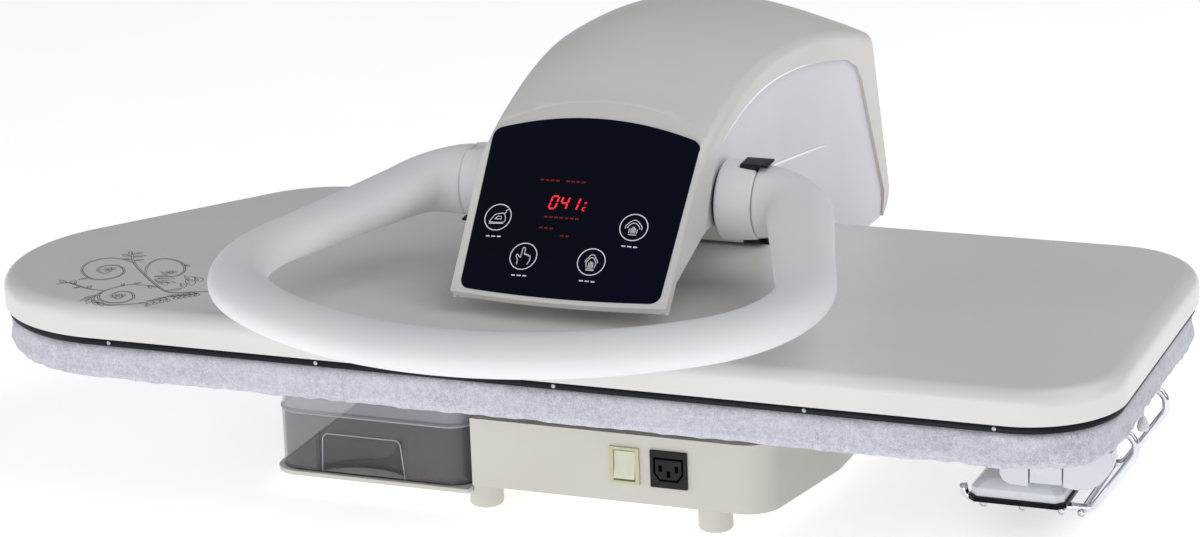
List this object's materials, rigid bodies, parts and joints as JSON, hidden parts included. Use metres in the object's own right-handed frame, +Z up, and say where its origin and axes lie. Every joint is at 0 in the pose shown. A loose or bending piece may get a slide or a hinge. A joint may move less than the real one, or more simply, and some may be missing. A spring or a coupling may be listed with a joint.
{
  "type": "steam ironing press",
  "caption": "Table-top steam ironing press: hinged heated head over a padded board, turning U handle, pull-out water tank and a small iron on a wire rest.",
  "frame": {"origin": "on the table, under the middle of the whole box (press closed)", "axes": "+X along the board towards its square end, +Y away from the user towards the hinge, +Z up"},
  "size_m": [1, 0.7582, 0.3516],
  "materials": {
    "cream_plastic": "satin moulded plastic, warm off-white",
    "lavender_plastic": "satin moulded plastic, pale grey with a lavender cast",
    "grip_foam": "smooth closed-cell foam, light grey",
    "black_glass": "glossy blue-black touch panel",
    "smoked_tank": "smoked transparent plastic",
    "steel": "zinc-plated steel",
    "chrome_wire": "bright chrome wire",
    "aluminium": "plain aluminium",
    "black_plastic": "matt black plastic",
    "black_rubber": "matt black rubber",
    "board_cloth": "heathered lavender-grey cloth",
    "pad_foam": "open-cell foam and felt",
    "blanket_fibre": "glass-fibre felt",
    "circuit_board": "green laminate",
    "hose_silicone": "milky silicone",
    "pale_green": "pale green plastic",
    "ceramic": "white ceramic",
    "white_plastic": "glossy white plastic",
    "dark_sole": "dark coated metal",
    "bush_plastic": "natural nylon"
  },
  "bodies": {
    "base": {"base_housing": "cream_plastic", "base_plate": "steel", "tank_ledge": "cream_plastic", "feet": "cream_plastic", "base_screws": "steel", "switch_frame": "pale_green", "iron_outlet": "black_plastic", "mains_inlet": "black_plastic", "pump": "black_plastic", "pump_rings": "black_rubber", "feed_hose": "hose_silicone", "riser_hose": "hose_silicone", "dock_valve": "black_plastic", "power_board": "circuit_board", "hinge_tower": "steel", "tower_cover": "cream_plastic", "hinge_shaft": "steel", "shaft_rings": "steel", "balance_springs": "steel", "board_brackets": "steel", "board_tray": "steel", "board_pad": "pad_foam", "board_fabric": "board_cloth", "drawcord_toggle": "white_plastic", "iron_rest": "chrome_wire", "rest_clips": "black_plastic"},
    "head": {"head_shell": "cream_plastic", "left_side_panel": "lavender_plastic", "right_side_panel": "lavender_plastic", "head_belly": "cream_plastic", "control_bezel": "cream_plastic", "control_glass": "black_glass", "display_board": "circuit_board", "arm_frame": "steel", "arm_bushes": "bush_plastic", "socket_gaskets": "black_rubber", "upper_cover": "cream_plastic", "rim_band": "black_plastic", "rim_screws": "steel", "insulation_blanket": "blanket_fibre", "heating_element": "dark_sole", "thermostat": "ceramic", "steam_chamber": "aluminium", "plate_hose": "hose_silicone", "press_plate": "aluminium", "plate_standoffs": "steel"},
    "handle": {"handle_shaft": "steel", "handle_tube": "aluminium", "foam_grip": "grip_foam", "grip_sockets": "lavender_plastic", "grip_clips": "black_plastic"},
    "tank": {"water_tank": "smoked_tank", "tank_lid": "smoked_tank", "filler_cap": "smoked_tank", "tank_valve": "black_plastic"},
    "rocker": {"power_rocker": "pale_green"},
    "iron": {"iron_soleplate": "dark_sole", "iron_body": "white_plastic", "iron_handle": "lavender_plastic"}
  },
  "joints": [
    {"name": "head_open", "type": "hinge", "parent": "base", "child": "head", "pos_m": [0.031, 0.29014, 0.15], "axis": [-1, 0, 0], "range_deg": [0, 30], "deforming": ["balance_springs"]},
    {"name": "handle_turn", "type": "hinge", "parent": "head", "child": "handle", "pos_m": [0.031, 0.01514, 0.2303], "axis": [-1, 0, 0], "range_deg": [0, 14]},
    {"name": "power_rocker", "type": "hinge", "parent": "base", "child": "rocker", "pos_m": [0.099, -0.15286, 0.0534], "axis": [1, 0, 0], "range_deg": [0, 12]},
    {"name": "tank_slide", "type": "slide", "parent": "base", "child": "tank", "axis": [0, -1, 0], "range_m": [0, 0.25]},
    {"name": "iron_slide", "type": "slide", "parent": "base", "child": "iron", "axis": [0, -1, 0], "range_m": [0, 0.22]}
  ]
}
